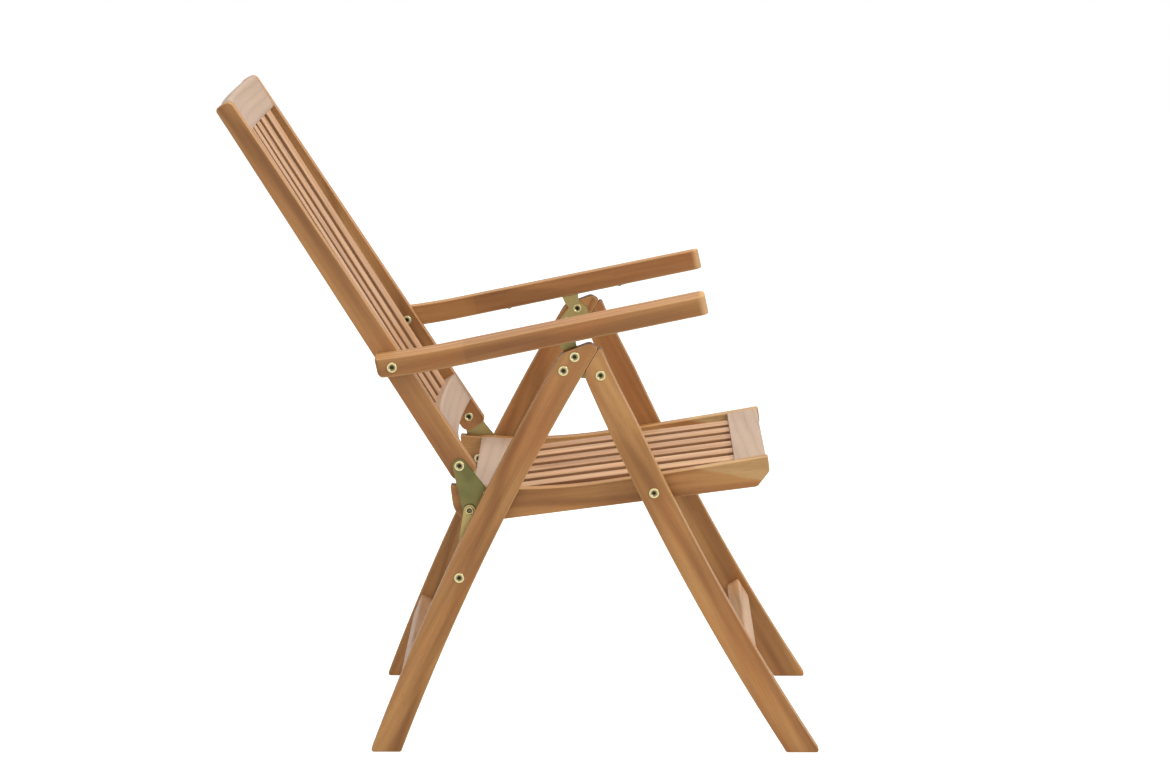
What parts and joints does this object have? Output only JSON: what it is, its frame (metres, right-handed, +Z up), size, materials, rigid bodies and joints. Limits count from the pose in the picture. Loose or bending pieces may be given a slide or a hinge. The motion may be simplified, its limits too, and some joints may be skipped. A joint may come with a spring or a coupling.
{
  "type": "folding armchair",
  "caption": "Folding teak garden armchair with slatted seat and tall slatted back, a back that reclines in steps and armrests held on notched channels.",
  "frame": {"origin": "on the floor, midway between the foremost and the rearmost point of the chair and midway between its sides", "axes": "+X to the front of the chair, +Y to the sitter's left, +Z up"},
  "size_m": [0.931, 0.5566, 1.0078],
  "materials": {
    "teak": "oiled",
    "deep_teak": "oiled",
    "pale_teak": "oiled",
    "slat_teak": "oiled",
    "zinc_plate": "zinc plated",
    "zinc_bolt": "zinc plated"
  },
  "bodies": {
    "rear_frame": {"rear_leg_right": "teak", "leg_hinge_bracket_right": "zinc_plate", "bracket_upper_bolt_right": "zinc_bolt", "bracket_lower_bolt_right": "zinc_bolt", "link_bolt_right": "zinc_bolt", "link_bush_right": "zinc_bolt", "rear_leg_left": "teak", "leg_hinge_bracket_left": "zinc_plate", "bracket_upper_bolt_left": "zinc_bolt", "bracket_lower_bolt_left": "zinc_bolt", "link_bolt_left": "zinc_bolt", "link_bush_left": "zinc_bolt", "rear_stretcher": "pale_teak"},
    "front_frame": {"front_leg_right": "teak", "leg_pivot_bolt_right": "zinc_bolt", "seat_pivot_bolt_right": "zinc_bolt", "seat_pivot_bush_right": "zinc_bolt", "front_leg_left": "teak", "leg_pivot_bolt_left": "zinc_bolt", "seat_pivot_bolt_left": "zinc_bolt", "seat_pivot_bush_left": "zinc_bolt", "front_stretcher": "pale_teak"},
    "seat": {"seat_rail_right": "deep_teak", "back_hinge_plate_right": "zinc_plate", "hinge_plate_screw_right": "zinc_bolt", "link_pin_sleeve_right": "zinc_bolt", "seat_rail_left": "deep_teak", "back_hinge_plate_left": "zinc_plate", "hinge_plate_screw_left": "zinc_bolt", "link_pin_sleeve_left": "zinc_bolt", "seat_front_rail": "pale_teak", "seat_rear_rail": "pale_teak", "seat_slat_1": "slat_teak", "seat_slat_2": "slat_teak", "seat_slat_3": "slat_teak", "seat_slat_4": "slat_teak", "seat_slat_5": "slat_teak", "seat_slat_6": "slat_teak"},
    "links": {"link_right": "zinc_plate", "link_left": "zinc_plate"},
    "back_pivots": {"back_pivot_bolt_right": "zinc_bolt", "back_pivot_bolt_left": "zinc_bolt"},
    "backrest": {"back_stile_right": "teak", "back_stile_left": "teak", "back_top_rail": "pale_teak", "back_lower_rail": "pale_teak", "back_slat_1": "slat_teak", "back_slat_2": "slat_teak", "back_slat_3": "slat_teak", "back_slat_4": "slat_teak", "back_slat_5": "slat_teak", "back_slat_6": "slat_teak"},
    "arm_bolts": {"armrest_bolt_right": "zinc_bolt", "armrest_bolt_left": "zinc_bolt"},
    "arm_washers": {"armrest_washer_right": "zinc_bolt", "armrest_washer_left": "zinc_bolt"},
    "armrest_right": {"armrest_right": "teak", "notch_channel_right": "zinc_plate"},
    "armrest_left": {"armrest_left": "teak", "notch_channel_left": "zinc_plate"}
  },
  "joints": [
    {"name": "fold", "type": "hinge", "parent": "rear_frame", "child": "front_frame", "pos_m": [0.12682, 0, 0.592], "axis": [0, 1, 0], "range_deg": [0, 53.6]},
    {"name": "seat_turn", "type": "hinge", "parent": "front_frame", "child": "seat", "pos_m": [0.20886, 0, 0.40923], "axis": [0, 1, 0], "range_deg": [-95.23, 0.5]},
    {"name": "link_turn", "type": "hinge", "parent": "rear_frame", "child": "links", "pos_m": [-0.0907, 0, 0.27598], "axis": [0, 1, 0], "range_deg": [-143.24, 0.5]},
    {"name": "back_fold", "type": "hinge", "parent": "seat", "child": "back_pivots", "pos_m": [-0.09067, 0, 0.44514], "axis": [0, 1, 0], "range_deg": [-0.5, 95.63]},
    {"name": "recline", "type": "hinge", "parent": "back_pivots", "child": "backrest", "pos_m": [-0.09067, 0, 0.44514], "axis": [0, 1, 0], "range_deg": [-10, 10]},
    {"name": "arm_level", "type": "hinge", "parent": "backrest", "child": "arm_bolts", "pos_m": [-0.19119, 0, 0.6059], "axis": [0, 1, 0], "range_deg": [-11, 11]},
    {"name": "arm_fold", "type": "hinge", "parent": "arm_bolts", "child": "arm_washers", "pos_m": [-0.19119, 0, 0.6059], "axis": [0, 1, 0], "range_deg": [-105.02, 0.5]},
    {"name": "lift_right", "type": "hinge", "parent": "arm_washers", "child": "armrest_right", "pos_m": [-0.19119, 0, 0.6059], "axis": [0, -1, 0], "range_deg": [-0.53, 100]},
    {"name": "lift_left", "type": "hinge", "parent": "arm_washers", "child": "armrest_left", "pos_m": [-0.19119, 0, 0.6059], "axis": [0, -1, 0], "range_deg": [-0.53, 100]}
  ],
  "couplings": [
    {"joint": "seat_turn", "follows": "fold", "ratio": -1.7674},
    {"joint": "link_turn", "follows": "fold", "ratio": -2.6631},
    {"joint": "back_fold", "follows": "fold", "ratio": 1.7748},
    {"joint": "arm_fold", "follows": "fold", "ratio": -1.95},
    {"joint": "arm_level", "follows": "recline", "ratio": -0.756}
  ]
}
